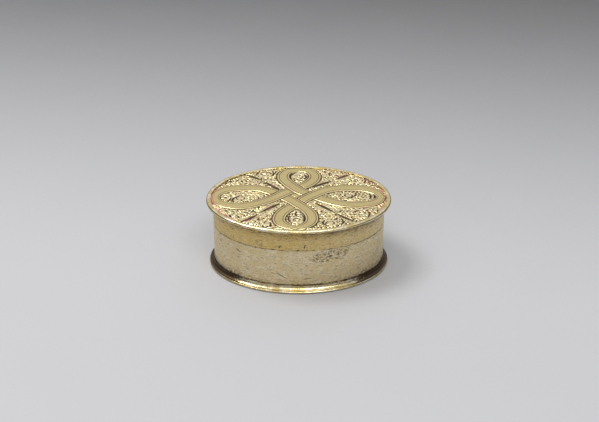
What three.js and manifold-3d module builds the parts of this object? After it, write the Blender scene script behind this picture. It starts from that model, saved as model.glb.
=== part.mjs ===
// An oval box with a lift-off lid, in gilt metal, carved with an interlaced strap knot on the lid.
// Millimetres, +Z up, X along the oval, the origin in the middle of the underside.

import * as THREE from 'three';
import { mergeVertices } from 'three/addons/utils/BufferGeometryUtils.js';
import Module from 'manifold-3d';

// The body: its oval is the outside of the wall
const BODY_LENGTH = 85.2;
const BODY_WIDTH = 62.2;
const SEAM_HEIGHT = 23.1;
const WALL_THICKNESS = 1.0;
const BASE_THICKNESS = 0.8;

// The bezel, a collar inside the wall that the lid slides over
const BEZEL_THICKNESS = 0.8;
const BEZEL_SEAT = 6.0;
const BEZEL_RISE = 9.0;
const BEZEL_LEAD = 0.3;
const LID_CLEARANCE = 0.15;

// The foot: a wire round the base plate, and a hollow moulding in the angle above it
const FOOT_OVERHANG = 2.5;
const FOOT_WIRE_WIDTH = 1.3;
const FOOT_WIRE_HEIGHT = 1.3;
const FOOT_WIRE_NOSE = 0.65;
const MOULDING_HEIGHT = 2.4;
const MOULDING_SETBACK = 0.3;
const MOULDING_LIP = 0.25;
const MOULDING_FILLET = 0.3;

// The lid
const SKIRT_HEIGHT = 11.5;
const LID_PLATE_THICKNESS = 0.7;
const RIM_OVERHANG = 3.4;
const RIM_WIDTH = 2.2;
const RIM_RISE = 1.4;
const RIM_DROP = 0.5;

// The carved knot: one strap in four loops, over and under itself round the middle
const STRAP_RELIEF = 0.5;
const STRAP_WIDTH = 6.4;
const STRAP_TIP_SETBACK = 2.6;
const LONG_LOOP_HALF_WIDTH = 8.8;
const SHORT_LOOP_HALF_WIDTH = 8.2;
const LOOP_SHOULDER = 0.6;
const LOOP_NOSE = 0.93;
const LOOP_NOSE_WIDTH = 0.62;
const KNOT_EYE = 5.8;
const KNOT_SHIFT_X = -1.0;
const KNOT_SHIFT_Y = 2.0;

// Soldered seams keep this much room between two pieces
const SOLDER_GAP = 0.05;

// Facets round the oval, round a small curve, and along half a loop of the strap
const OVAL_STEPS = 80;
const CURVE_STEPS = 6;
const STRAP_STEPS = 12;

const SKIRT_TOP = SEAM_HEIGHT + SKIRT_HEIGHT;
const FIELD_TOP = SKIRT_TOP + LID_PLATE_THICKNESS;
const PLATE_OUT = RIM_OVERHANG - RIM_WIDTH;
const BASE_OUT = FOOT_OVERHANG - FOOT_WIRE_WIDTH;
const BEZEL_OUT = -WALL_THICKNESS - SOLDER_GAP;

const gilt = (color, roughness) =>
  new THREE.MeshStandardMaterial({ color, roughness, metalness: 1 });
const carvedGilt = gilt(0xc0ab6c, 0.36);
const rimGilt = gilt(0xc8b67c, 0.3);
const skirtGilt = gilt(0xb5a06a, 0.4);
const wornBrass = gilt(0xb0a283, 0.45);
const footGilt = gilt(0xc4b48c, 0.25);
const innerGilt = gilt(0xb39a58, 0.42);

const wasm = await Module();
wasm.setup();

// The point at a turn round the oval, a distance `out` outside the body's wall
function ovalPoint(turn, out) {
  const a = BODY_LENGTH / 2;
  const b = BODY_WIDTH / 2;
  const outward = new THREE.Vector2(b * Math.cos(turn), a * Math.sin(turn)).normalize();
  return new THREE.Vector2(a * Math.cos(turn), b * Math.sin(turn)).addScaledVector(outward, out);
}

function closed(geometry) {
  geometry.deleteAttribute('normal');
  geometry.deleteAttribute('uv');
  return mergeVertices(geometry, 1e-5);
}

// A closed profile of [out, height] points carried round the oval
function ovalRing(profile) {
  const middle = BODY_LENGTH / 2;
  const loop = [...profile, profile[0]];
  const points = loop.map(([out, height]) => new THREE.Vector2(middle + out, height));
  const ring = new THREE.LatheGeometry(points, OVAL_STEPS);
  const place = ring.getAttribute('position');
  for (let i = 0; i < place.count; i += 1) {
    const turn = Math.atan2(place.getX(i), place.getZ(i));
    const out = Math.hypot(place.getX(i), place.getZ(i)) - middle;
    const spot = ovalPoint(turn, out);
    place.setXYZ(i, spot.x, spot.y, place.getY(i));
  }
  return closed(ring);
}

// A flat oval plate, its edge `out` outside the body's wall
function ovalPlate(out, bottom, thickness) {
  const outline = [];
  for (let i = 0; i < OVAL_STEPS; i += 1) {
    outline.push(ovalPoint((2 * Math.PI * i) / OVAL_STEPS, out));
  }
  return raised(outline, bottom, thickness);
}

function raised(outline, bottom, thickness) {
  const solid = new THREE.ExtrudeGeometry(new THREE.Shape(outline), {
    depth: thickness,
    bevelEnabled: false,
  });
  solid.translate(0, 0, bottom);
  return closed(solid);
}

// Profile points on a quarter or half of an ellipse, between two angles
function arc(middle, radii, from, to) {
  return Array.from({ length: CURVE_STEPS + 1 }, (_, i) => {
    const angle = from + ((to - from) * i) / CURVE_STEPS;
    return [middle[0] + radii[0] * Math.cos(angle), middle[1] + radii[1] * Math.sin(angle)];
  });
}

function toSolid(geometry) {
  return new wasm.Manifold(new wasm.Mesh({
    numProp: 3,
    vertProperties: new Float32Array(geometry.getAttribute('position').array),
    triVerts: new Uint32Array(geometry.getIndex().array),
  }));
}

function toGeometry(solid) {
  const mesh = solid.getMesh();
  const geometry = new THREE.BufferGeometry();
  geometry.setAttribute('position', new THREE.BufferAttribute(mesh.vertProperties, 3));
  geometry.setIndex(new THREE.BufferAttribute(mesh.triVerts, 1));
  return geometry;
}

// The strap's middle line: out along a leg, round a loop's tip, back and past the middle of the knot
function strapLine() {
  const tip = ovalPoint(0, PLATE_OUT - STRAP_TIP_SETBACK).x;
  const side = ovalPoint(Math.PI / 2, PLATE_OUT - STRAP_TIP_SETBACK).y;
  const eye = KNOT_EYE * Math.SQRT1_2;
  const points = [];
  for (let quarter = 0; quarter < 4; quarter += 1) {
    const long = quarter % 2 === 0;
    const shift = [KNOT_SHIFT_X, KNOT_SHIFT_Y, -KNOT_SHIFT_X, -KNOT_SHIFT_Y][quarter];
    const reach = (long ? tip : side) - shift;
    const half = long ? LONG_LOOP_HALF_WIDTH : SHORT_LOOP_HALF_WIDTH;
    const around = new THREE.Vector3(KNOT_SHIFT_X, KNOT_SHIFT_Y, 0);
    const place = (along, across) => new THREE.Vector3(along, across, 0)
      .applyAxisAngle(new THREE.Vector3(0, 0, 1), (quarter * Math.PI) / 2)
      .add(around);
    points.push(place(eye, -eye));
    points.push(place(reach * LOOP_SHOULDER, half));
    points.push(place(reach * LOOP_NOSE, half * LOOP_NOSE_WIDTH));
    points.push(place(reach, 0));
    points.push(place(reach * LOOP_NOSE, -half * LOOP_NOSE_WIDTH));
    points.push(place(reach * LOOP_SHOULDER, -half));
  }
  return new THREE.CatmullRomCurve3(points, true);
}

// The strap as eight raised stretches, each from the knot's eye to the tip of a loop
function strapStretches() {
  const line = strapLine();
  const stretches = [];
  for (let stretch = 0; stretch < 8; stretch += 1) {
    const left = [];
    const right = [];
    for (let i = 0; i <= STRAP_STEPS; i += 1) {
      const t = ((stretch + i / STRAP_STEPS) / 8) % 1;
      const spot = line.getPoint(t);
      const along = line.getTangent(t);
      const across = new THREE.Vector3(-along.y, along.x, 0).multiplyScalar(STRAP_WIDTH / 2);
      left.push(new THREE.Vector2(spot.x + across.x, spot.y + across.y));
      right.unshift(new THREE.Vector2(spot.x - across.x, spot.y - across.y));
    }
    const depth = LID_PLATE_THICKNESS / 2 + STRAP_RELIEF;
    stretches.push(raised([...left, ...right], FIELD_TOP + STRAP_RELIEF - depth, depth));
  }
  return stretches;
}

function lidPlate() {
  const out = PLATE_OUT - SOLDER_GAP;
  let strap = null;
  for (const stretch of strapStretches()) {
    strap = strap ? strap.add(toSolid(stretch)) : toSolid(stretch);
  }
  const room = toSolid(ovalPlate(out, SKIRT_TOP, LID_PLATE_THICKNESS + STRAP_RELIEF));
  const plate = toSolid(ovalPlate(out, SKIRT_TOP, LID_PLATE_THICKNESS));
  return toGeometry(plate.add(strap.intersect(room)));
}

function lidRimWire() {
  const top = SKIRT_TOP + RIM_RISE;
  const half = (RIM_RISE + RIM_DROP) / 2;
  return ovalRing([
    [PLATE_OUT, top],
    [PLATE_OUT, SKIRT_TOP],
    [SOLDER_GAP, SKIRT_TOP],
    [SOLDER_GAP, SKIRT_TOP - RIM_DROP],
    ...arc([RIM_OVERHANG - half, top - half], [half, half], -Math.PI / 2, Math.PI / 2),
  ]);
}

function lidSkirt() {
  const inside = BEZEL_OUT + LID_CLEARANCE;
  return ovalRing([
    [0, SEAM_HEIGHT],
    [0, SKIRT_TOP],
    [inside, SKIRT_TOP],
    [inside, SEAM_HEIGHT],
  ]);
}

function bodyWall() {
  return ovalRing([
    [0, BASE_THICKNESS],
    [0, SEAM_HEIGHT],
    [-WALL_THICKNESS, SEAM_HEIGHT],
    [-WALL_THICKNESS, BASE_THICKNESS],
  ]);
}

function bezel() {
  const inside = BEZEL_OUT - BEZEL_THICKNESS;
  const top = SEAM_HEIGHT + BEZEL_RISE;
  return ovalRing([
    [BEZEL_OUT, SEAM_HEIGHT - BEZEL_SEAT],
    [BEZEL_OUT, top - BEZEL_LEAD],
    [BEZEL_OUT - BEZEL_LEAD, top],
    [inside, top],
    [inside, SEAM_HEIGHT - BEZEL_SEAT],
  ]);
}

function basePlate() {
  return ovalPlate(BASE_OUT - SOLDER_GAP, 0, BASE_THICKNESS);
}

function footWire() {
  const middle = [FOOT_OVERHANG - FOOT_WIRE_NOSE, FOOT_WIRE_HEIGHT / 2];
  return ovalRing([
    [BASE_OUT, FOOT_WIRE_HEIGHT],
    [BASE_OUT, 0],
    ...arc(middle, [FOOT_WIRE_NOSE, FOOT_WIRE_HEIGHT / 2], -Math.PI / 2, Math.PI / 2),
  ]);
}

// A hollow curve from the wall down and out to a lip over the wire
function footMoulding() {
  const lip = FOOT_WIRE_HEIGHT + MOULDING_LIP;
  const outside = FOOT_OVERHANG - MOULDING_SETBACK;
  const top = FOOT_WIRE_HEIGHT + MOULDING_HEIGHT;
  const neck = SOLDER_GAP + MOULDING_FILLET;
  const shoulder = top - MOULDING_FILLET;
  return ovalRing([
    [SOLDER_GAP, top],
    [SOLDER_GAP, BASE_THICKNESS],
    [BASE_OUT, BASE_THICKNESS],
    [BASE_OUT, FOOT_WIRE_HEIGHT],
    [outside, FOOT_WIRE_HEIGHT],
    ...arc([outside, shoulder], [outside - neck, shoulder - lip], 1.5 * Math.PI, Math.PI),
    [neck, top],
  ]);
}

function piece(name, geometry, material) {
  const mesh = new THREE.Mesh(geometry, material);
  mesh.name = name;
  return mesh;
}

const lid = new THREE.Group();
lid.add(piece('lid_plate', lidPlate(), carvedGilt));
lid.add(piece('lid_rim_wire', lidRimWire(), rimGilt));
lid.add(piece('lid_skirt', lidSkirt(), skirtGilt));

const body = new THREE.Group();
body.add(piece('body_wall', bodyWall(), wornBrass));
body.add(piece('bezel', bezel(), innerGilt));
body.add(piece('base_plate', basePlate(), innerGilt));
body.add(piece('foot_moulding', footMoulding(), footGilt));
body.add(piece('foot_wire', footWire(), rimGilt));

const box = new THREE.Group();
box.add(lid, body);

export default box;
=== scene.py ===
"""An oval gilt box with a lift-off lid, its lid carved with a strap knot among leaf scrolls."""

import math

import bpy
import numpy as np
from mathutils import Euler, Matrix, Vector


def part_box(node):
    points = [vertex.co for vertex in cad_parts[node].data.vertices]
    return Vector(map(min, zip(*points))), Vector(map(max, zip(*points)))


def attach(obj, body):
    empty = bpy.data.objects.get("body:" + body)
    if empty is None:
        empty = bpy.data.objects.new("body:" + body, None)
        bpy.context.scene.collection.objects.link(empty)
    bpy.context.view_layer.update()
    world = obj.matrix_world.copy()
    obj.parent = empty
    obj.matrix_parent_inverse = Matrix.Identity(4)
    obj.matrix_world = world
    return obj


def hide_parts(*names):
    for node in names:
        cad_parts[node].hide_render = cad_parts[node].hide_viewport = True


bl_info = {
    "name": "Oval Lidded Box",
    "version": (1, 0, 0),
    "blender": (4, 5, 0),
    "location": "3D View > Sidebar > Lidded Box",
    "description": "Builds an oval metal box with a carved lift-off lid on its stage",
    "category": "Add Mesh",
}

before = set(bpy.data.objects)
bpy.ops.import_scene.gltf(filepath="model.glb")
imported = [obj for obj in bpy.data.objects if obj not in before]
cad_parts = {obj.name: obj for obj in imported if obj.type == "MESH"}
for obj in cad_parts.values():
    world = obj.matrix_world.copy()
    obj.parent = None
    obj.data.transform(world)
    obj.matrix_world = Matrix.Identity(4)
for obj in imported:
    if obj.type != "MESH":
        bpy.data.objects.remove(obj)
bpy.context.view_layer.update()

MM = 0.001


def spans(node):
    """A node's lowest and highest corners, in millimetres."""
    low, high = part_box(node)
    return np.array(low) / MM, np.array(high) / MM


WALL_LOW, WALL_HIGH = spans("body_wall")
PLATE_LOW, PLATE_HIGH = spans("lid_plate")
RIM_LOW, RIM_HIGH = spans("lid_rim_wire")
SKIRT_LOW, SKIRT_HIGH = spans("lid_skirt")
BEZEL_LOW, BEZEL_HIGH = spans("bezel")
BASE_LOW, BASE_HIGH = spans("base_plate")
MOULD_LOW, MOULD_HIGH = spans("foot_moulding")
WIRE_LOW, WIRE_HIGH = spans("foot_wire")

HALF_LENGTH = WALL_HIGH[0]
HALF_WIDTH = WALL_HIGH[1]


def beyond_wall(high):
    """How far a node's outline lies outside the wall, in millimetres."""
    return float(high[0] - HALF_LENGTH)


class BoxSizes(bpy.types.PropertyGroup):
    """Sizes that the frame doesn't state, in millimetres"""

    wall: bpy.props.FloatProperty(name="Wall", description="Thickness of the wall", default=1.0)
    clearance: bpy.props.FloatProperty(
        name="Lid clearance", description="Room between skirt and bezel", default=0.15)
    solder: bpy.props.FloatProperty(
        name="Solder seam", description="Room in a soldered seam", default=0.05)
    bezel: bpy.props.FloatProperty(name="Bezel", description="Thickness of the bezel", default=0.8)
    rim_width: bpy.props.FloatProperty(
        name="Rim width", description="Width of the rim wire on the lid", default=2.2)
    foot_wire: bpy.props.FloatProperty(
        name="Foot wire", description="Width of the foot wire", default=1.3)
    strap_half: bpy.props.FloatProperty(
        name="Strap half width", description="From the strap's middle to its edge", default=3.25)
    ground: bpy.props.FloatProperty(
        name="Ground depth", description="Depth of the carved ground below the strap", default=0.3)
    grid_long: bpy.props.IntProperty(
        name="Grid along", description="Squares of the carved surface along the lid", default=352)
    grid_wide: bpy.props.IntProperty(
        name="Grid across", description="Squares of the carved surface across it", default=260)
    round_steps: bpy.props.IntProperty(
        name="Steps round", description="Sections of each ring round the oval", default=288)


class BoxColours(bpy.types.PropertyGroup):
    """Colours of the metal and the stage"""

    strap: bpy.props.FloatVectorProperty(
        name="Gilding", description="Clean gilding", subtype="COLOR", size=3,
        default=(0.64, 0.52, 0.24))
    skirt: bpy.props.FloatVectorProperty(
        name="Skirt", description="Rubbed gilding of the skirt", subtype="COLOR", size=3,
        default=(0.72, 0.53, 0.20))
    wall: bpy.props.FloatVectorProperty(
        name="Wall", description="Worn metal of the wall", subtype="COLOR", size=3,
        default=(0.77, 0.63, 0.36))
    silver: bpy.props.FloatVectorProperty(
        name="Rubbed through", description="Pale metal where the gilding is gone",
        subtype="COLOR", size=3, default=(0.90, 0.82, 0.62))
    # A pale painted highlight for the carved crests and the strap's margins.
    crest_highlight: bpy.props.FloatVectorProperty(
        name="Crests", description="Rubbed gilding on the carved crests", subtype="COLOR", size=3,
        default=(0.93, 0.81, 0.52))
    # One dark colour for the tarnish in the cuts, scratches and pits, and for the painted shade under the
    # rim and wires and the painted dark reflection at the ends.
    dirt_and_shade: bpy.props.FloatVectorProperty(
        name="Tarnish", description="Dark tarnish in the cuts", subtype="COLOR", size=3,
        default=(0.050, 0.026, 0.016))
    residue: bpy.props.FloatVectorProperty(
        name="Residue", description="Reddish polish left in the groove", subtype="COLOR", size=3,
        default=(0.52, 0.13, 0.14))
    floor: bpy.props.FloatVectorProperty(
        name="Floor", description="Pale floor", subtype="COLOR", size=3,
        default=(0.425, 0.425, 0.438))


def sizes():
    return bpy.context.scene.box_sizes


def colours():
    return bpy.context.scene.box_colours


class Socket:
    """A shader value that takes part in arithmetic."""

    def __init__(self, tree, output):
        self.tree = tree
        self.output = output

    def math(self, operation, other=None, clamp=False):
        node = self.tree.nodes.new("ShaderNodeMath")
        node.operation = operation
        node.use_clamp = clamp
        feed(self.tree, node.inputs[0], self)
        if other is not None:
            feed(self.tree, node.inputs[1], other)
        return Socket(self.tree, node.outputs[0])

    def __add__(self, other):
        return self.math("ADD", other)

    __radd__ = __add__

    def __mul__(self, other):
        return self.math("MULTIPLY", other)

    __rmul__ = __mul__

    def __sub__(self, other):
        return self.math("SUBTRACT", other)

    def __rsub__(self, other):
        return (self * -1.0) + other

    def __pow__(self, other):
        return self.math("POWER", other)

    def clamped(self):
        return self.math("ADD", 0.0, clamp=True)


def feed(tree, target, value):
    if isinstance(value, Socket):
        tree.links.new(value.output, target)
    else:
        target.default_value = value


class Shader:
    """The nodes of a material or a world, added one at a time."""

    def __init__(self, holder, output="ShaderNodeOutputMaterial"):
        holder.use_nodes = True
        self.holder = holder
        self.tree = holder.node_tree
        self.tree.nodes.clear()
        self.output = self.tree.nodes.new(output)

    def node(self, kind, settings=None, inputs=None, out=0):
        node = self.tree.nodes.new(kind)
        for key, value in (settings or {}).items():
            setattr(node, key, value)
        for key, value in (inputs or {}).items():
            feed(self.tree, node.inputs[key], value)
        return Socket(self.tree, node.outputs[out])

    def axes(self, where):
        """The three values of a vector."""
        return [self.node("ShaderNodeSeparateXYZ", inputs={"Vector": where}, out=axis)
                for axis in "XYZ"]

    def position(self):
        """Object coordinates as three values in millimetres."""
        where = self.node("ShaderNodeTexCoord", out="Object")
        return [value * (1 / MM) for value in self.axes(where)]

    def place(self, scale):
        """Object coordinates, scaled to one noise cell per so many millimetres each way."""
        where = self.node("ShaderNodeTexCoord", out="Object")
        size = tuple(1.0 / (MM * s) for s in scale)
        return self.node("ShaderNodeMapping", inputs={"Vector": where, "Scale": size})

    def noise(self, scale, detail=4.0, rough=0.55):
        return self.node("ShaderNodeTexNoise", inputs={
            "Vector": self.place(scale), "Scale": 1.0, "Detail": detail, "Roughness": rough})

    def specks(self, size):
        return self.node("ShaderNodeTexVoronoi", inputs={
            "Vector": self.place((size, size, size)), "Scale": 1.0}, out="Distance")

    def step(self, value, low, high):
        """0 at low, 1 at high, smooth between; low may be the larger."""
        return self.node("ShaderNodeMapRange", {"interpolation_type": "SMOOTHSTEP"}, {
            "Value": value, "From Min": low, "From Max": high})

    def mix(self, share, first, second):
        """A colour mix; 0, 6 and 7 are the Mix node's factor and colour sockets, 2 its result."""
        ends = [v if isinstance(v, Socket) else (*v, 1.0) for v in (first, second)]
        return self.node("ShaderNodeMix", {"data_type": "RGBA"},
                         {0: share, 6: ends[0], 7: ends[1]}, out=2)

    def attribute(self, name):
        return self.node("ShaderNodeAttribute", {"attribute_name": name}, out="Fac")

    def bump(self, height, strength, distance):
        return self.node("ShaderNodeBump", inputs={
            "Height": height, "Strength": strength, "Distance": distance})

    def finish(self, color, roughness, normal, metallic=1.0):
        surface = self.node("ShaderNodeBsdfPrincipled", inputs={
            "Base Color": color, "Roughness": roughness, "Metallic": metallic, "Normal": normal})
        self.tree.links.new(surface.output, self.output.inputs["Surface"])
        return self.holder


def darker(color, share):
    return tuple(share * c for c in color)


SEAM_HEIGHT = float(WALL_HIGH[2])

# Marks on the front: middle x and z, half length, half width, and tilt in degrees.
SKIRT_NICKS = ((-9.2, 25.1, 1.0, 0.3, 55), (2.9, 25.4, 1.15, 0.28, 72),
               (-12.8, 23.4, 0.6, 0.35, 0), (-0.2, 23.4, 0.6, 0.35, 0))
WALL_SCRATCHES = ((-8.5, 9.0, 2.8, 0.18, -32), (-29.5, 18.6, 1.4, 0.2, -40),
                  (4.0, 7.4, 1.6, 0.16, 12))
WALL_PATCH = (15.5, 19.4, 10.0, 3.4, 6)


def front_mark(s, mark, position):
    """1 inside a slanted oval on the box's front, 0 outside it."""
    x, y, z = position
    middle_x, middle_z, long, wide, tilt = mark
    c, d = math.cos(math.radians(tilt)), math.sin(math.radians(tilt))
    dx, dz = x - middle_x, z - middle_z
    along = (dx * c + dz * d) * (1 / long)
    across = (dz * c - dx * d) * (1 / wide)
    return s.step(along * along + across * across, 1.4, 0.5) * s.step(y, 0.0, -5.0)


def metal(clean, worn, roughness, wear, streak=1.0, paler=0.0, low=0.0, ends=0.0,
          seam=0.0, shade_under_rim=0.0, shade_under_wires=0.0, nicks=(), patch=None):
    """Old sheet metal: worn clouds, streaks round the box, scratches, pits, tarnish and mottled darkening
    low down, with painted shade under the rim and wires and a painted dark reflection at the ends.
    """
    s = Shader(bpy.data.materials.new("metal"))
    position = s.position()
    x, y, z = position
    cloud = s.noise((6.0, 6.0, 3.0), 6.0, 0.65)
    mottle = s.noise((1.1, 1.1, 0.7), 5.0, 0.7)
    dashes = s.noise((2.4, 2.4, 0.2), 3.0, 0.6)
    hair = s.noise((5.0, 5.0, 0.1), 2.0, 0.5)
    dull = darker(clean, 0.62)
    side = x.math("ABSOLUTE")
    color = s.mix(s.step(cloud, 0.42, 0.60) * wear, clean, worn)
    color = s.mix(s.step(x, -8.0, 36.0) * paler, color, worn)
    color = s.mix(s.step(mottle, 0.46, 0.64) * 0.42, color, dull)
    color = s.mix(s.step(hair, 0.52, 0.60) * (0.30 * streak), color, dull)
    scratches = s.step(dashes, 0.59, 0.66) * s.step(cloud, 0.40, 0.54) * (0.7 * streak)
    pits = s.step(s.specks(1.2), 0.24, 0.10) * s.step(mottle, 0.49, 0.56)
    dirt_and_shade = scratches + pits * 0.8
    dirt_and_shade = dirt_and_shade + s.step((z - SEAM_HEIGHT).math("ABSOLUTE"), 0.55, 0.1) * seam * (
        s.step(dashes, 0.38, 0.55))
    dirt_and_shade = dirt_and_shade + s.step(z + cloud * 8.0, 11.5, 6.5) * s.step(mottle, 0.40, 0.56) * low * (
        s.step(side, 14.0, 36.0) * 0.7 + 0.3)
    dirt_and_shade = dirt_and_shade + s.step((z - MOULD_HIGH[2] - 0.1).math("ABSOLUTE"), 0.8, 0.2) * (
        s.step(dashes, 0.40, 0.54)) * low
    # Painted dark reflection: darker towards the left and right ends.
    dirt_and_shade = dirt_and_shade + s.step(side + cloud * 6.0, 28.0, 39.0) * ends
    # Painted shade: dark dashes on the skirt just under the lid's rim.
    dirt_and_shade = dirt_and_shade + s.step(z, RIM_LOW[2] - 6.5, RIM_LOW[2] - 0.5) * (
        s.step(dashes, 0.42, 0.60)) * shade_under_rim
    # Painted shadow: a dark band on the rim wire's underside and along the foot's bottom edge.
    dirt_and_shade = dirt_and_shade + s.step((z - RIM_LOW[2]).math("ABSOLUTE"), 0.7, 0.25) * shade_under_wires
    dirt_and_shade = dirt_and_shade + s.step(z, 0.5, 0.15) * shade_under_wires
    for mark in nicks:
        dirt_and_shade = dirt_and_shade + front_mark(s, mark, position)
    if patch:
        dirt_and_shade = dirt_and_shade + front_mark(s, patch, position) * s.step(mottle, 0.48, 0.58) * 0.75
    dirt_and_shade = dirt_and_shade.clamped()
    color = s.mix(dirt_and_shade * 0.97, color, colours().dirt_and_shade)
    rough = ((mottle - 0.5) * 0.35 + dirt_and_shade * 0.2 + roughness).clamped()
    height = hair * (0.5 * streak) + dashes * (0.5 * streak) + mottle * 0.5 - dirt_and_shade * 0.8
    return s.finish(color, rough, s.bump(height, 0.5, 0.0001), (1.0 - dirt_and_shade * 0.15).clamped())


def carved_metal():
    """Gilding on the carved plate: dark in the cuts, with a patchy painted highlight on the crests."""
    s = Shader(bpy.data.materials.new("carved_gilt"))
    tint = colours()
    dark = s.attribute("dark")
    crest_highlight = s.attribute("crest_highlight")
    groove = s.attribute("groove")
    cloud = s.noise((3.0, 3.0, 3.0), 6.0, 0.7)
    patch = s.noise((10.0, 10.0, 10.0), 4.0, 0.6)
    grain = s.noise((0.22, 0.22, 0.22), 3.0, 0.6)
    hair = s.noise((0.16, 2.2, 2.2), 2.0, 0.5)
    color = s.mix(s.step(patch, 0.42, 0.64) * 0.4, tint.strap, darker(tint.strap, 0.84))
    color = s.mix(s.step(hair, 0.56, 0.64) * 0.18, color, darker(tint.strap, 0.6))
    # Painted highlight: the carved crests turn pale in patches.
    color = s.mix((crest_highlight * s.step(cloud, 0.30, 0.50) * 1.1).clamped(), color, tint.crest_highlight)
    stain = s.step(dark + (grain - 0.5) * 0.3, 0.22, 0.78)
    color = s.mix((stain * 0.96).clamped(), color, tint.dirt_and_shade)
    red = s.step(groove, 0.3, 0.7) * s.step(s.noise((7.0, 7.0, 7.0)), 0.40, 0.52)
    red = red + s.step(dark, 0.3, 0.6) * s.step(patch, 0.52, 0.66) * 0.35
    red = red.clamped()
    color = s.mix(red * 0.7, color, tint.residue)
    uneven = (grain - 0.5) * 0.15 + (cloud - 0.5) * 0.2
    rough = (uneven + stain * 0.3 + 0.34 - crest_highlight * 0.14).clamped()
    metallic = (1.0 - stain * 0.15 - red * 0.6).clamped()
    return s.finish(color, rough, s.bump(grain * 0.6 + cloud, 0.3, 0.00006), metallic)


def finishes():
    """Every metal finish by its slot in the record."""
    tint = colours()
    return {
        "carved_gilt": carved_metal,
        # The rim and foot wires carry painted shadow on their undersides.
        "rim_gilt": lambda: metal(tint.strap, tint.silver, 0.22, 0.8, streak=0.4, shade_under_wires=0.9),
        # The skirt carries painted shade under the rim.
        "skirt_gilt": lambda: metal(tint.skirt, tint.wall, 0.34, 0.4, streak=1.7,
                                    paler=0.75, seam=0.8, shade_under_rim=0.8,
                                    nicks=SKIRT_NICKS),
        # The wall and the foot carry a painted dark reflection at their ends.
        "worn_brass": lambda: metal(tint.wall, tint.silver, 0.36, 0.5, streak=1.5, low=1.0,
                                    ends=0.05, seam=0.5, nicks=WALL_SCRATCHES, patch=WALL_PATCH),
        "foot_gilt": lambda: metal(tint.strap, tint.silver, 0.18, 0.95, streak=0.4,
                                   low=0.6, ends=1.2),
        "inner_gilt": lambda: metal(tint.skirt, tint.strap, 0.34, 0.4),
    }


def finish_for(slot):
    """A slot's finish, made once; the frame has a plain material of the slot's own name."""
    name = "aged_" + slot
    if name not in bpy.data.materials:
        finishes()[slot]().name = name
    return bpy.data.materials[name]


def oval(turn, out):
    """Points round the oval, a distance outside the wall, in millimetres."""
    c, s = np.cos(turn), np.sin(turn)
    nx, ny = HALF_WIDTH * c, HALF_LENGTH * s
    size = np.hypot(nx, ny)
    return HALF_LENGTH * c + out * nx / size, HALF_WIDTH * s + out * ny / size


def softened(profile, radius, steps=3):
    """A closed profile of (out, height) points with each corner rounded."""
    count = len(profile)
    result = []
    for i in range(count):
        here = np.array(profile[i], float)
        ends = []
        for other in (profile[i - 1], profile[(i + 1) % count]):
            way = np.array(other, float) - here
            length = np.linalg.norm(way)
            ends.append(here + way / length * min(radius, 0.45 * length))
        for k in range(steps + 1):
            t = k / steps
            result.append(tuple((1 - t) ** 2 * ends[0] + 2 * t * (1 - t) * here + t * t * ends[1]))
    return result


def arc(middle, radii, start, end, steps=12):
    """Points along part of an ellipse, from start to end in degrees."""
    turns = [math.radians(start + (end - start) * i / steps) for i in range(steps + 1)]
    return [(middle[0] + radii[0] * math.cos(turn), middle[1] + radii[1] * math.sin(turn))
            for turn in turns]


def mesh_object(name, points, faces, smooth_angle=35.0):
    """A smooth mesh object with sharp edges past an angle in degrees."""
    mesh = bpy.data.meshes.new(name)
    mesh.from_pydata([tuple(p) for p in points], [], faces)
    mesh.validate()
    mesh.polygons.foreach_set("use_smooth", [True] * len(mesh.polygons))
    mesh.set_sharp_from_angle(angle=math.radians(smooth_angle))
    mesh.update()
    piece = bpy.data.objects.new(name, mesh)
    bpy.context.scene.collection.objects.link(piece)
    return piece


def hand_wobble(turn, height):
    """The small unevenness of hand-bent sheet, in millimetres, shared by every ring round the oval."""
    return (0.05 * np.sin(3 * turn + 0.6) + 0.035 * np.sin(7 * turn + 0.11 * height)
            + 0.02 * np.sin(13 * turn - 0.17 * height + 1.3))


def ring(name, profile):
    """A closed profile carried round the oval, its faces outward."""
    count = sizes().round_steps
    turns = np.arange(count) * 2 * math.pi / count
    points = []
    for turn in turns:
        for out, height in profile:
            x, y = oval(turn, out + hand_wobble(turn, height))
            points.append((x * MM, y * MM, height * MM))
    size = len(profile)
    area = sum(profile[i - 1][0] * profile[i][1] - profile[i][0] * profile[i - 1][1]
               for i in range(size))
    faces = []
    for i in range(count):
        j = (i + 1) % count
        for k in range(size):
            m = (k + 1) % size
            face = (i * size + k, j * size + k, j * size + m, i * size + m)
            faces.append(face if area > 0 else face[::-1])
    return mesh_object(name, points, faces)


def settle(piece, node, body, slot):
    """Gives a finished piece its material, hides the frame's node it stands in for and attaches it to the
    body it rides on.
    """
    piece.data.materials.append(finish_for(slot))
    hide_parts(node)
    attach(piece, body)


def smooth_path(points, closed=False, step=0.15):
    """A curve through given points, sampled evenly enough for carving."""
    p = np.array(points, float)
    if closed:
        p = np.vstack([p[-1], p, p[0], p[1]])
    else:
        p = np.vstack([2 * p[0] - p[1], p, 2 * p[-1] - p[-2]])
    result = []
    for a, b, c, d in zip(p, p[1:], p[2:], p[3:]):
        count = max(2, int(np.linalg.norm(c - b) / step))
        t = (np.arange(count) / count)[:, None]
        result.append(0.5 * (2 * b + (c - a) * t + (2 * a - 5 * b + 4 * c - d) * t ** 2
                             + (3 * b - a - 3 * c + d) * t ** 3))
    if not closed:
        result.append(p[-2][None])
    return np.vstack(result)


def spiral(x, y, radius, start, turns, hand, inner=0.22):
    """A curl that winds in from its radius, turning left for hand 1 and right for -1."""
    count = max(12, int(abs(turns) * 2 * math.pi * radius / 0.15))
    t = np.arange(count + 1) / count
    angle = math.radians(start) + hand * t * turns * 2 * math.pi
    size = radius * (1 - (1 - inner) * t ** 0.8)
    return np.stack([x + size * np.cos(angle), y + size * np.sin(angle)], 1)


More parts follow.
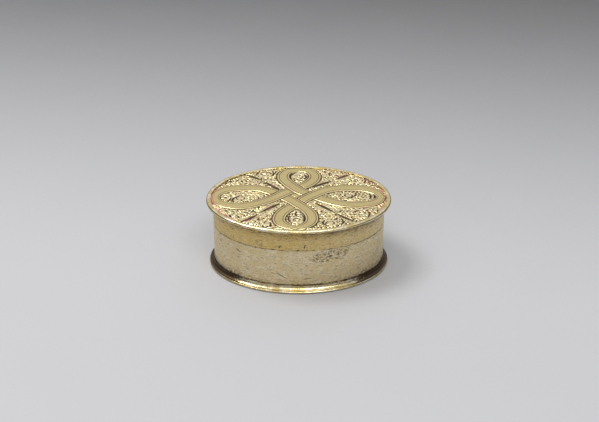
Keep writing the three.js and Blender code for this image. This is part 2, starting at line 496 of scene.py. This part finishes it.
def bent(start, end, bend):
    """A path between two points that bows to its left by a share of its length."""
    a, b = np.array(start, float), np.array(end, float)
    middle = (a + b) / 2 + bend * np.array([a[1] - b[1], b[0] - a[0]])
    return smooth_path([a, middle, b])


SPINDLE = "spindle"
TAIL = "tail"
EVEN = "even"


def taper(kind, t):
    """A stroke's width along its length, as a share of its greatest width."""
    if kind == SPINDLE:
        return np.sin(np.pi * np.clip(t, 0.02, 0.98)) ** 0.6
    if kind == TAIL:
        return 1 - 0.6 * t
    return np.ones_like(t)


class Carving:
    """Heights over the lid, in millimetres below the strap's top, with its dark and bright spots."""

    def __init__(self, x, y, ground):
        self.x, self.y, self.ground = x, y, ground
        self.height = np.full(x.shape, -ground)
        self.dark = np.full(x.shape, 0.3)
        self.crest_highlight = np.zeros(x.shape)

    def near(self, path, reach):
        """The points within reach of a path, how far away they are and where along it."""
        low, high = path.min(0) - reach, path.max(0) + reach
        pick = np.flatnonzero((self.x > low[0]) & (self.x < high[0])
                              & (self.y > low[1]) & (self.y < high[1]))
        away = np.empty(len(pick))
        along = np.empty(len(pick))
        for start in range(0, len(pick), 4096):
            part = pick[start:start + 4096]
            square = ((self.x[part, None] - path[None, :, 0]) ** 2
                      + (self.y[part, None] - path[None, :, 1]) ** 2)
            best = square.argmin(1)
            away[start:start + 4096] = np.sqrt(square[np.arange(len(part)), best])
            along[start:start + 4096] = best / max(1, len(path) - 1)
        return pick, away, along

    def inside(self, path, width, kind):
        pick, away, along = self.near(path, width)
        share = away / (width * taper(kind, along))
        return pick[share < 1], share[share < 1]

    def rib(self, path, width, top=-0.04, kind=SPINDLE):
        """A rounded raised line, clean and with a painted highlight along its top."""
        pick, share = self.inside(path, width, kind)
        rise = top - (top + self.ground) * share ** 2.4
        self.height[pick] = np.maximum(self.height[pick], rise)
        self.dark[pick] *= np.clip(share * 1.3 - 0.2, 0, 1)
        self.crest_highlight[pick] = np.maximum(self.crest_highlight[pick], 1 - share)

    def cut(self, path, width, depth, kind=SPINDLE):
        """A V-shaped cut, dark at the bottom."""
        pick, share = self.inside(path, width, kind)
        self.height[pick] -= depth * (1 - share)
        self.dark[pick] = np.maximum(self.dark[pick], np.clip(2.1 * (1 - share), 0, 1))
        self.crest_highlight[pick] *= share

    def leaf(self, start, end, bend=0.15, width=0.75, vein=True):
        path = bent(start, end, bend)
        self.rib(path, width)
        if vein:
            self.cut(path, 0.3, 0.22)

    def punch(self, x, y, size=0.42, depth=0.4):
        self.cut(np.array([[x, y]]), size, depth, EVEN)


STRANDS = (
    ("front to right", ((-1.5, -30.2), (-5.6, -28.6), (-8.9, -25.0), (-9.6, -20.5), (-8.2, -15.5),
                        (-5.4, -11.2), (-1.4, -6.8), (3.3, -0.9), (8.2, 3.9), (14.0, 8.1),
                        (20.0, 10.1), (27.0, 10.5), (33.5, 9.3), (38.6, 6.0), (41.2, 1.2))),
    ("right to back", ((41.2, 1.2), (39.4, -3.2), (34.5, -6.2), (27.5, -7.0), (20.5, -5.7),
                       (14.0, -2.4), (8.0, 2.0), (1.0, 6.9), (-2.6, 11.4), (-5.6, 15.8),
                       (-7.6, 20.3), (-7.6, 24.8), (-5.0, 28.6), (0.2, 30.3))),
    ("back to left", ((0.2, 30.3), (5.4, 28.6), (8.0, 24.8), (8.0, 20.3), (5.6, 15.6),
                      (1.6, 12.0), (-6.5, 5.6), (-11.5, 0.8), (-16.5, -3.2), (-22.5, -6.6),
                      (-29.5, -8.4), (-36.0, -7.0), (-40.3, -3.6), (-41.6, 1.0))),
    ("left to front", ((-41.6, 1.0), (-40.3, 5.2), (-35.5, 8.9), (-28.0, 10.5), (-20.0, 9.9),
                       (-14.0, 6.8), (-9.4, 2.6), (-4.2, -2.0), (-0.2, -6.8), (3.2, -11.2),
                       (5.6, -15.6), (6.5, -20.5), (5.6, -25.2), (2.4, -28.8), (-1.5, -30.2))),
)
KNOT_EYE = (-1.6, 2.4)
CROSSING_REACH = (17.5, 13.0)
STRAP_TIP_HALF = 2.25
STRAP_TIP_LENGTH = 7.0


STRAP_LINE = 0.64
STRAP_OUTLINE = 1.12


def strap_groove(share):
    """The dark groove along a strand's edge: 1 in its middle, 0 beside it."""
    return np.clip(1.7 - 1.7 * np.abs(share - 1.04) / 0.13, 0, 1)


def carve_strap(work, half):
    """The knot: each strand passes over the next one round the eye."""
    shares = []
    for _, points in STRANDS:
        path = smooth_path(points, step=0.2)
        pick, away, along = work.near(path, half + 1.5)
        to_end = np.minimum(along, 1 - along) * len(path) * 0.2
        wide = half - (half - STRAP_TIP_HALF) * np.exp(-(to_end / STRAP_TIP_LENGTH) ** 2)
        share = np.full(work.x.shape, 9.0)
        share[pick] = away / wide
        shares.append(share)
    covered = np.min(np.stack(shares), 0)
    central = (((work.x - KNOT_EYE[0]) / CROSSING_REACH[0]) ** 2
               + ((work.y - KNOT_EYE[1]) / CROSSING_REACH[1]) ** 2) < 1
    seen = covered.copy()
    for k in range(4):
        over, under = shares[k], shares[(k + 1) % 4]
        crossing = central & (over < 1) & (under < 1)
        seen[crossing] = over[crossing]
    on = seen < 1
    line = np.clip(1.6 - 1.6 * np.abs(seen - STRAP_LINE) / 0.09, 0, 1)
    margin = np.clip((seen - STRAP_LINE) / (1 - STRAP_LINE), 0, 1)
    outline = strap_groove(seen)
    for k in range(4):
        over, under = shares[k], shares[(k + 1) % 4]
        beside = central & (over >= 1) & (under < 1)
        outline = np.maximum(outline, beside * strap_groove(over))
    work.height[on] = (-0.2 * margin ** 2 + 0.1 * margin)[on]
    work.dark[on] = 0
    # Painted highlight along the strap's bevelled margins.
    work.crest_highlight[on] = (0.3 * (margin > 0.15) * (margin < 0.85))[on]
    eye = (covered >= STRAP_OUTLINE) & (
        np.hypot(work.x - KNOT_EYE[0], work.y - KNOT_EYE[1]) < 4.2)
    work.height[eye] = -0.04
    work.dark[eye] = 0
    work.crest_highlight[eye] = 0
    work.height -= 0.16 * line * on + 0.3 * outline
    work.dark = np.maximum(work.dark, np.maximum(0.9 * line * on, outline))
    return covered


STEMS = (
    ((7.4, -4.4), (12.6, -9.6), (17.2, -14.6)),
    ((18.4, -15.8), (22.6, -20.2), (27.6, -24.2)),
    ((-9.4, -5.6), (-13.6, -9.6), (-18.2, -14.2)),
    ((-20.4, -17.2), (-24.4, -21.4), (-29.6, -25.4)),
    ((6.4, 10.4), (12.0, 14.6), (17.6, 18.0)),
    ((19.4, 19.4), (22.4, 22.2), (26.2, 24.8)),
    ((-9.0, 8.4), (-13.4, 12.8), (-16.8, 17.0)),
    ((-18.8, 18.8), (-22.8, 22.2), (-27.6, 25.4)),
)


def carve_stems(work):
    """The four straight stems: long leaves split by a deep cut, with small leaves beside them."""
    for number, points in enumerate(STEMS):
        path = smooth_path(points)
        ahead = path[-1] - path[0]
        ahead = ahead / np.linalg.norm(ahead)
        side = np.array([-ahead[1], ahead[0]])
        near_knot = number % 2 == 0
        for sign in (-1, 1):
            for k in range(5 if near_knot else 3):
                t = 0.18 + 0.19 * k
                root = path[int(t * (len(path) - 1))] + sign * side * 0.9
                tip = root + sign * side * 1.9 + ahead * (1.7 if near_knot else 1.2)
                work.leaf(root, tip, 0.2 * sign, 0.62, vein=False)
                work.punch(*(root + sign * side * 1.0 - ahead * 0.1), 0.36, 0.35)
        work.rib(path, 1.9, 0.0)
        work.cut(path + side * 0.1, 1.25, 0.75)
    for x, y in ((17.9, -15.3), (-19.2, -15.8), (18.4, 18.8), (-17.9, 18.0)):
        across = np.array([y, -x]) / math.hypot(x, y)
        middle = np.array([x, y])
        work.rib(bent(middle - across * 1.5, middle + across * 1.5, 0.1), 0.55, 0.02)


CURLS = (
    (-17.2, 25.2, 4.1, 40, 1.15, 1), (-13.2, 19.4, 1.7, 250, 1.0, -1), (-24.6, 27.4, 1.3, 200, 0.9, 1),
    (-29.4, 18.4, 2.9, 20, 1.2, 1), (-35.2, 16.6, 2.5, 110, 1.1, -1), (-23.4, 16.2, 1.9, 160, 1.0, -1),
    (15.0, 24.6, 3.4, 120, 1.2, -1), (20.8, 26.6, 2.3, 30, 1.1, 1), (13.2, 17.8, 1.5, 300, 1.0, 1),
    (28.4, 18.2, 3.1, 150, 1.25, -1), (34.4, 15.6, 2.6, 60, 1.1, 1), (22.6, 15.4, 1.8, 20, 1.0, 1),
    (30.6, -15.8, 4.2, 150, 1.35, -1), (24.4, -14.4, 1.9, 20, 1.1, 1), (37.4, -12.6, 1.9, 100, 1.0, 1),
    (15.8, -25.6, 3.9, 220, 1.3, -1), (12.0, -14.4, 2.2, 60, 1.0, 1), (21.2, -24.2, 1.7, 320, 1.0, 1),
    (-26.0, -15.8, 2.7, 200, 1.25, 1), (-33.6, -15.6, 3.3, 60, 1.2, -1), (-38.2, -13.2, 1.6, 90, 1.0, 1),
    (-22.6, -24.4, 3.3, 130, 1.2, -1), (-15.6, -25.4, 3.0, 330, 1.2, 1), (-16.2, -18.4, 2.0, 80, 1.0, -1),
    (-28.4, -0.6, 4.1, 100, 1.25, 1), (-36.8, -0.4, 2.7, 160, 0.9, -1), (-21.2, -0.6, 2.0, 30, 1.0, -1),
    (24.4, 2.2, 3.8, 330, 1.3, 1), (18.6, 3.2, 1.7, 180, 1.0, -1),
    (0.4, 22.6, 2.9, 280, 1.4, 1), (-0.6, -22.2, 3.2, 250, 1.35, -1), (-0.8, -15.2, 1.3, 60, 0.9, 1),
)


def carve_curls(work):
    """Leaf scrolls: each curl has lobes along its outside, a dark cut inside and a berry."""
    for x, y, radius, start, turns, hand in CURLS:
        path = spiral(x, y, radius, start, turns, hand)
        work.rib(path, 0.34 + 0.13 * radius, -0.02, TAIL)
        lobes = max(4, int(radius * 3.0))
        for k in range(lobes):
            root = path[int((0.03 + 0.62 * k / lobes) * (len(path) - 1))]
            out = (root - (x, y)) / (np.linalg.norm(root - (x, y)) + 1e-6)
            lean = hand * np.array([-out[1], out[0]])
            tip = root + out * (0.55 + 0.32 * radius) - lean * 0.5
            work.leaf(root, tip, 0.25 * hand, 0.34 + 0.09 * radius, vein=False)
            notch = root + out * 0.5 - lean * 0.75
            work.cut(bent(notch, notch + out * (0.5 + 0.16 * radius), 0.2), 0.34, 0.42)
        inner = spiral(x, y, radius * 0.76, start, turns * 0.8, hand)
        work.cut(inner, 0.34, 0.32, TAIL)
        work.rib(np.array([[x, y]]), 0.5, 0.0, EVEN)


FILL_SPACING = 1.85
FILL_LENGTH = 2.5


def carve_fill(work):
    """Small leaves over the whole ground, each beside a dark cut, that follow the scrolls."""
    draw = np.random.default_rng(11)
    middles = np.array([curl[:2] for curl in CURLS])
    rows = np.arange(-33, 33, FILL_SPACING)
    for number, y in enumerate(rows):
        for x in np.arange(-44, 44, FILL_SPACING) + (number % 2) * FILL_SPACING / 2:
            spot = np.array([x, y]) + draw.uniform(-0.4, 0.4, 2)
            bend = draw.uniform(0.1, 0.35)
            if (spot[0] / 43.5) ** 2 + (spot[1] / 32.0) ** 2 > 1:
                continue
            away = spot - middles[np.argmin(np.hypot(*(middles - spot).T))]
            angle = math.atan2(away[1], away[0]) + 1.15 + draw.uniform(-0.35, 0.35)
            way = 0.5 * FILL_LENGTH * np.array([math.cos(angle), math.sin(angle)])
            side = 0.68 * np.array([math.sin(angle), -math.cos(angle)])
            work.rib(bent(spot - way, spot + way, bend), 0.68, -0.04)
            work.cut(bent(spot + side - way * 0.6, spot + side + way * 0.7, bend), 0.42, 0.45)


STROKES = (
    ((-18.5, 28.6), (-20.6, 26.9), (-21.2, 24.5), (-20.6, 23.0)),
    ((-13.4, 28.1), (-12.6, 26.0), (-13.4, 23.6)), ((-36.5, 17.0), (-36.8, 15.4), (-36.3, 14.0)),
    ((-35.0, 18.2), (-34.1, 15.8)), ((-31.6, 19.4), (-30.6, 17.8)), ((-29.1, 18.3), (-28.1, 16.1)),
    ((-26.6, 18.2), (-26.0, 16.8)), ((13.5, 28.5), (13.9, 26.6)),
    ((16.1, 27.3), (15.6, 25.4), (16.1, 23.6)), ((21.4, 27.6), (23.0, 26.5)),
    ((19.2, 24.2), (20.2, 22.8)), ((26.6, 18.9), (27.6, 17.4)), ((28.4, 16.8), (29.0, 18.4)),
    ((33.2, 21.5), (34.0, 18.6), (33.2, 15.6)), ((35.4, 17.2), (35.6, 15.2)),
    ((37.8, 13.8), (37.2, 12.0)), ((39.6, 12.0), (39.3, 10.4)),
    ((-24.4, -13.0), (-22.2, -13.6), (-20.0, -15.2)),
    ((-35.4, -16.8), (-35.5, -18.4), (-34.5, -19.9)),
    ((-33.2, -16.5), (-33.5, -18.2), (-32.6, -19.9)),
    ((-27.0, -17.6), (-25.8, -18.5), (-24.2, -18.0)), ((-27.2, -16.0), (-25.6, -15.0),
    (-23.9, -15.6)),
    ((-20.4, -21.9), (-18.9, -22.6), (-17.3, -22.0)), ((-16.4, -22.6), (-15.6, -24.2)),
    ((-13.8, -24.6), (-13.4, -26.8), (-14.4, -28.7), (-16.4, -29.0), (-18.2, -27.8)),
    ((27.7, -15.4), (28.0, -13.8), (29.5, -12.4)),
    ((32.3, -12.4), (34.1, -13.8), (34.7, -16.6), (33.8, -19.6)), ((20.9, -13.5), (19.4, -15.1)),
    ((13.5, -22.8), (11.8, -24.4), (12.3, -26.8), (13.8, -28.4)), ((18.8, -19.3), (18.3, -22.6)),
    ((20.0, -19.6), (21.7, -23.7), (20.4, -27.8)), ((9.7, -11.8), (8.1, -14.0), (9.7, -15.9)),
    ((-39.5, 2.0), (-38.9, -1.8), (-36.3, -4.7)), ((-33.5, 0.1), (-34.2, -2.2), (-35.4, -4.0)),
    ((-29.5, 2.0), (-32.2, -0.6), (-32.6, -2.8), (-31.6, -4.9)),
    ((28.5, 5.5), (28.6, 3.4), (27.0, 1.2), (23.0, -0.5)),
    ((35.0, 4.4), (36.0, 1.6), (35.2, -1.4)), ((37.0, 4.2), (37.9, 1.5), (37.1, -1.0)),
    ((-3.6, 20.0), (-4.2, 22.6), (-3.0, 25.4), (-0.2, 26.6)), ((3.3, 19.8), (3.8, 22.4),
    (2.6, 25.0)),
    ((-4.4, -18.0), (-4.9, -21.2), (-3.8, -24.4), (-1.0, -26.2)), ((2.0, -17.6), (2.9, -20.6),
    (2.2, -23.8)),
    ((-0.6, -14.0), (-1.6, -16.6), (-0.6, -18.8)),
)
DOTS = (
    (-19.1, 25.4), (-16.5, 26.3), (-14.9, 26.9), (-17.4, 24.2), (-15.5, 23.7), (-32.9, 17.3),
    (-24.2, 16.8), (30.2, 18.9), (32.0, 18.5), (7.5, 7.1), (9.1, 8.0), (10.7, 9.0), (12.8, 12.1),
    (-24.0, -16.4), (-38.7, -15.1), (-39.8, -12.7), (-29.6, -19.0), (-27.6, -14.3), (-36.0, -13.0),
    (30.1, -14.9), (24.3, -13.8), (22.6, -15.9), (25.7, -17.4), (27.6, -18.7), (29.5, -17.1),
    (35.7, -13.0), (38.9, -11.8), (16.3, -21.2), (8.3, -29.7), (10.7, -29.5), (16.9, -28.7),
    (23.0, -25.6), (13.5, -25.6), (16.9, -25.3), (11.6, -14.6), (12.8, -15.9), (12.8, -7.1),
    (14.6, -8.8), (16.5, -10.2), (-28.2, 1.4), (-26.8, 0.1), (-28.2, -2.9), (-26.2, -4.0),
    (-23.8, -1.1), (-22.9, -1.8), (-26.9, -4.9), (23.2, 4.9), (20.8, 3.0), (21.9, 1.5),
    (25.1, 4.3),
    (0.6, 22.2), (-1.2, 23.4), (1.2, 20.2), (-0.4, -20.8), (0.8, -22.4), (-1.4, -22.8),
)


def carve_strokes(work):
    """The darkest single cuts and punch marks, where the photograph shows them."""
    for points in STROKES:
        work.cut(smooth_path(points), 0.68, 0.5)
    for x, y in DOTS:
        work.punch(x, y, 0.55, 0.5)


FEATHERS = (
    (31.4, 1.2, (3.2, 4.5, 5.8, 7.0), -62, 68),
    (-33.6, 0.4, (5.4, 6.6), 120, 236),
    (0.2, 21.8, (3.7, 4.9), -35, 215),
    (-1.4, -20.4, (3.6, 4.8), 150, 395),
    (-21.8, -23.6, (4.6,), 200, 330),
    (15.8, -25.0, (5.4,), 300, 400),
)


def carve_feathers(work):
    """Sets of even arcs that fill the ends of the loops."""
    for x, y, radii, start, end in FEATHERS:
        for radius in radii:
            turns = np.radians(np.linspace(start, end, 40))
            path = np.stack([x + radius * np.cos(turns), y + radius * np.sin(turns)], 1)
            work.rib(path, 0.62, -0.06)


def lid_surface():
    """The carved top as a grid of points bent to the oval, with heights."""
    across, along = sizes().grid_wide, sizes().grid_long
    u, v = np.meshgrid(np.linspace(-1, 1, along + 1), np.linspace(-1, 1, across + 1))
    p = u * np.sqrt(1 - v ** 2 / 2)
    q = v * np.sqrt(1 - u ** 2 / 2)
    far = np.hypot(p, q)
    ox, oy = oval(np.arctan2(q, p), beyond_wall(PLATE_HIGH))
    x, y = (far * ox).ravel(), (far * oy).ravel()
    work = Carving(x, y, sizes().ground)
    carve_fill(work)
    carve_feathers(work)
    carve_curls(work)
    carve_strokes(work)
    carve_stems(work)
    carve_strap(work, sizes().strap_half)
    share = far.ravel()
    work.height = np.clip(work.height, -0.74, 0.0)
    work.height = np.maximum(work.height - 0.3 * np.clip((share - 0.97) / 0.02, 0, 1), -0.86)
    return work, share, u.shape


def lid_edge_loop(rows, columns):
    """The grid's outline as point numbers, anticlockwise from above."""
    grid = np.arange(rows * columns).reshape(rows, columns)
    return np.concatenate([grid[0, :-1], grid[:-1, -1], grid[-1, :0:-1], grid[:0:-1, 0]])


def lid_plate_object():
    work, share, (rows, columns) = lid_surface()
    top = np.stack([work.x, work.y, PLATE_HIGH[2] + work.height], 1) * MM
    grid = np.arange(rows * columns).reshape(rows, columns)
    quads = np.stack([grid[:-1, :-1], grid[:-1, 1:], grid[1:, 1:], grid[1:, :-1]], -1)
    faces = quads.reshape(-1, 4).tolist()
    loop = lid_edge_loop(rows, columns)
    below = top[loop].copy()
    below[:, 2] = PLATE_LOW[2] * MM
    first = len(top)
    middle = first + len(loop)
    points = np.vstack([top, below, [[0, 0, PLATE_LOW[2] * MM]]])
    for k in range(len(loop)):
        m = (k + 1) % len(loop)
        faces.append((int(loop[k]), first + k, first + m, int(loop[m])))
        faces.append((first + m, first + k, middle))
    piece = mesh_object("lid_plate_carved", points, faces, 50.0)
    left = (work.x < -30) & (work.y < 11)
    right = (work.x > 38) & (np.abs(work.y) < 14)
    groove = np.clip((share - 0.966) / 0.012, 0, 1) * (left | right)
    for name, values in (("dark", work.dark), ("crest_highlight", work.crest_highlight), ("groove", groove)):
        padded = np.zeros(len(points))
        padded[:first] = values
        piece.data.attributes.new(name, "FLOAT", "POINT").data.foreach_set("value", padded)
    return piece


class BOX_OT_lid_plate(bpy.types.Operator):
    """Make the carved top plate of the lid"""

    bl_idname = "box.lid_plate"
    bl_label = "Lid Plate"

    def execute(self, context):
        settle(lid_plate_object(), "lid_plate", "lid", "carved_gilt")
        return {"FINISHED"}


class BOX_OT_lid_rim(bpy.types.Operator):
    """Make the rounded wire round the lid's edge"""

    bl_idname = "box.lid_rim"
    bl_label = "Lid Rim Wire"

    def execute(self, context):
        out = beyond_wall(RIM_HIGH)
        inner = out - sizes().rim_width
        half = (RIM_HIGH[2] - RIM_LOW[2]) / 2
        middle = (out - half, RIM_LOW[2] + half)
        section = softened([
            (inner, RIM_HIGH[2] - 0.12), (inner, PLATE_LOW[2]), (sizes().solder, PLATE_LOW[2]),
            (sizes().solder, RIM_LOW[2])], 0.1)
        section = section + arc(middle, (half, half), -90, 90, 16)
        section = section + [(inner + 0.55, RIM_HIGH[2] - 0.03)]
        settle(ring("lid_rim_wire_round", section), "lid_rim_wire", "lid", "rim_gilt")
        return {"FINISHED"}


SKIRT_FLARE = 2.0
SKIRT_FLARE_HEIGHT = 7.5


class BOX_OT_lid_skirt(bpy.types.Operator):
    """Make the band of the lid that slides over the bezel"""

    bl_idname = "box.lid_skirt"
    bl_label = "Lid Skirt"

    def execute(self, context):
        s = sizes()
        inside = -s.wall - s.solder + s.clearance
        low, high = SKIRT_LOW[2], SKIRT_HIGH[2]
        flare = [(SKIRT_FLARE * (k / 8) ** 2, RIM_LOW[2] - 0.03 - SKIRT_FLARE_HEIGHT * (1 - k / 8))
                 for k in range(9)]
        section = ([(inside, low), (-0.12, low), (0, low + 0.12)] + flare
                   + [(0, RIM_LOW[2] + 0.02), (0, high), (inside, high)])
        settle(ring("lid_skirt_band", section), "lid_skirt", "lid", "skirt_gilt")
        return {"FINISHED"}


class BOX_OT_body_wall(bpy.types.Operator):
    """Make the wall of the body"""

    bl_idname = "box.body_wall"
    bl_label = "Body Wall"

    def execute(self, context):
        low, high = WALL_LOW[2], WALL_HIGH[2]
        thick = sizes().wall
        section = softened([(0, low), (0, high), (-thick, high), (-thick, low)], 0.14)
        settle(ring("body_wall_band", section), "body_wall", "box_body", "worn_brass")
        return {"FINISHED"}


class BOX_OT_bezel(bpy.types.Operator):
    """Make the collar that holds the lid"""

    bl_idname = "box.bezel"
    bl_label = "Bezel"

    def execute(self, context):
        s = sizes()
        out = -s.wall - s.solder
        low, high = BEZEL_LOW[2], BEZEL_HIGH[2]
        section = softened([(out, low), (out, high - 0.3), (out - 0.3, high),
                            (out - s.bezel, high), (out - s.bezel, low)], 0.12)
        settle(ring("bezel_collar", section), "bezel", "box_body", "inner_gilt")
        return {"FINISHED"}


class BOX_OT_base_plate(bpy.types.Operator):
    """Make the flat bottom"""

    bl_idname = "box.base_plate"
    bl_label = "Base Plate"

    def execute(self, context):
        out = beyond_wall(BASE_HIGH)
        low, high = BASE_LOW[2], BASE_HIGH[2]
        count = sizes().round_steps
        turns = np.arange(count) * 2 * math.pi / count
        levels = [(0.0, low), (0.5, low), (1.0, low), (1.0, high), (0.5, high), (0.0, high)]
        x, y = oval(turns, out)
        points = [(0, 0, low * MM)]
        for share, height in levels[1:-1]:
            points += [(share * a * MM, share * b * MM, height * MM) for a, b in zip(x, y)]
        points.append((0, 0, high * MM))
        faces = []
        for i in range(count):
            j = (i + 1) % count
            faces.append((0, 1 + j, 1 + i))
            for k in range(3):
                a, b = 1 + k * count, 1 + (k + 1) * count
                faces.append((a + i, a + j, b + j, b + i))
            faces.append((len(points) - 1, 1 + 3 * count + i, 1 + 3 * count + j))
        piece = mesh_object("base_plate_oval", points, faces)
        settle(piece, "base_plate", "box_body", "inner_gilt")
        return {"FINISHED"}


class BOX_OT_foot(bpy.types.Operator):
    """Make the hollow moulding and the wire of the foot"""

    bl_idname = "box.foot"
    bl_label = "Foot"

    def execute(self, context):
        s = sizes()
        outer = beyond_wall(WIRE_HIGH)
        inner = outer - s.foot_wire
        half = (WIRE_HIGH[2] - WIRE_LOW[2]) / 2
        nose = s.foot_wire / 2
        section = [(inner, WIRE_HIGH[2]), (inner, WIRE_LOW[2])]
        section = section + arc((outer - nose, WIRE_LOW[2] + half), (nose, half), -90, 90, 16)
        settle(ring("foot_wire_round", section), "foot_wire", "box_body", "rim_gilt")
        edge = beyond_wall(MOULD_HIGH)
        top = MOULD_HIGH[2]
        neck = s.solder + 0.3
        lip = WIRE_HIGH[2] + 0.25
        shoulder = top - 0.3
        corners = [(s.solder, top), (s.solder, MOULD_LOW[2]), (inner, MOULD_LOW[2]),
                   (inner, WIRE_HIGH[2]), (edge, WIRE_HIGH[2])]
        hollow = arc((edge, shoulder), (edge - neck, shoulder - lip), 270, 180, 16)
        piece = ring("foot_moulding_hollow", corners + hollow + [(neck, top)])
        settle(piece, "foot_moulding", "box_body", "foot_gilt")
        return {"FINISHED"}


CAMERA_RISE = 29.754
CAMERA_AWAY = 0.8
FOCAL_PIXELS = 1592.1
FRAME_WIDTH = 599
FRAME_HEIGHT = 422
TARGET_PIXEL = (298.5, 228.5)


def aim_camera():
    """The camera that took the photograph, as fitted to the box's outlines."""
    data = bpy.data.cameras.new("camera")
    data.sensor_width = 36.0
    data.lens = FOCAL_PIXELS / FRAME_WIDTH * data.sensor_width
    data.clip_end = 20.0
    camera = bpy.data.objects.new("camera", data)
    rise = math.radians(CAMERA_RISE)
    target = Vector((0, 0, RIM_HIGH[2] / 2 * MM))
    camera.location = target + CAMERA_AWAY * Vector((0, -math.cos(rise), math.sin(rise)))
    lift = math.atan((TARGET_PIXEL[1] - FRAME_HEIGHT / 2) / FOCAL_PIXELS)
    turn = math.atan((TARGET_PIXEL[0] - FRAME_WIDTH / 2) / FOCAL_PIXELS)
    camera.rotation_euler = Euler((math.pi / 2 - rise + lift, 0, turn))
    bpy.context.scene.collection.objects.link(camera)
    bpy.context.scene.camera = camera


def soft_light(name, place, size, power):
    """An area light that faces the box."""
    data = bpy.data.lights.new(name, "AREA")
    data.shape = "RECTANGLE"
    data.size, data.size_y = size
    data.energy = power
    light = bpy.data.objects.new(name, data)
    light.location = place
    light.rotation_euler = Vector(place).to_track_quat("Z", "Y").to_euler()
    bpy.context.scene.collection.objects.link(light)


def floor_material():
    s = Shader(bpy.data.materials.new("floor"))
    x, y, z = s.position()
    tint = tuple(colours().floor)
    # Painted shade: the floor darkens towards the back where the light falls off.
    far = s.step(y + x * 0.15, -50.0, 510.0)
    grain = s.noise((40.0, 40.0, 40.0), 2.0, 0.5)
    color = s.mix((far + (grain - 0.5) * 0.03).clamped(), tint, darker(tint, 0.16))
    surface = s.node("ShaderNodeBsdfPrincipled", inputs={"Base Color": color, "Roughness": 0.75})
    s.tree.links.new(surface.output, s.output.inputs["Surface"])
    return s.holder


def surroundings():
    """A soft room: pale overhead, dark low down at both sides."""
    world = bpy.data.worlds.new("room")
    bpy.context.scene.world = world
    s = Shader(world, "ShaderNodeOutputWorld")
    x, y, z = s.axes(s.node("ShaderNodeTexCoord", out="Generated"))
    pale = s.step(z, 0.0, 0.5) * 0.8 + 0.2
    flag = s.step(x.math("ABSOLUTE"), 0.5, 0.85) * s.step(z, 0.8, 0.35)
    shade = s.mix((pale * (1.0 - flag * 0.9)).clamped(), (0.02, 0.02, 0.022), (1.0, 1.0, 1.0))
    light = s.node("ShaderNodeBackground", inputs={"Color": shade, "Strength": 0.88})
    s.tree.links.new(light.output, s.output.inputs["Surface"])


FLOOR_REACH = 6.0
KEY_LIGHT = {"place": (-0.6, 0.15, 1.4), "size": (0.6, 0.6), "power": 12.0}
FRONT_LIGHT = {"place": (0.2, -0.9, 1.3), "size": (0.9, 0.4), "power": 8.0}


class BOX_OT_stage(bpy.types.Operator):
    """Make the floor, the lights and the camera"""

    bl_idname = "box.stage"
    bl_label = "Stage"

    def execute(self, context):
        far = FLOOR_REACH
        corners = [(-far, -far, 0), (far, -far, 0), (far, far, 0), (-far, far, 0)]
        floor = mesh_object("floor", corners, [(0, 1, 2, 3)])
        floor.data.materials.append(floor_material())
        surroundings()
        soft_light("key", **KEY_LIGHT)
        soft_light("front", **FRONT_LIGHT)
        aim_camera()
        context.scene.view_settings.view_transform = "Standard"
        return {"FINISHED"}


PIECES = (BOX_OT_lid_plate, BOX_OT_lid_rim, BOX_OT_lid_skirt, BOX_OT_body_wall, BOX_OT_bezel,
          BOX_OT_base_plate, BOX_OT_foot, BOX_OT_stage)


class BOX_PT_panel(bpy.types.Panel):
    """The box's pieces and sizes"""

    bl_idname = "BOX_PT_panel"
    bl_label = "Lidded Box"
    bl_space_type = "VIEW_3D"
    bl_region_type = "UI"
    bl_category = "Lidded Box"

    def draw(self, context):
        for piece in PIECES:
            self.layout.operator(piece.bl_idname)
        for group in (context.scene.box_sizes, context.scene.box_colours):
            for name in group.__annotations__:
                self.layout.prop(group, name)


CLASSES = (BoxSizes, BoxColours, *PIECES, BOX_PT_panel)


def register():
    for kind in CLASSES:
        bpy.utils.register_class(kind)
    bpy.types.Scene.box_sizes = bpy.props.PointerProperty(type=BoxSizes)
    bpy.types.Scene.box_colours = bpy.props.PointerProperty(type=BoxColours)


def unregister():
    del bpy.types.Scene.box_sizes
    del bpy.types.Scene.box_colours
    for kind in reversed(CLASSES):
        bpy.utils.unregister_class(kind)


def main():
    register()
    bpy.ops.box.lid_plate()
    bpy.ops.box.lid_rim()
    bpy.ops.box.lid_skirt()
    bpy.ops.box.body_wall()
    bpy.ops.box.bezel()
    bpy.ops.box.base_plate()
    bpy.ops.box.foot()
    bpy.ops.box.stage()


if __name__ == "__main__":
    main()
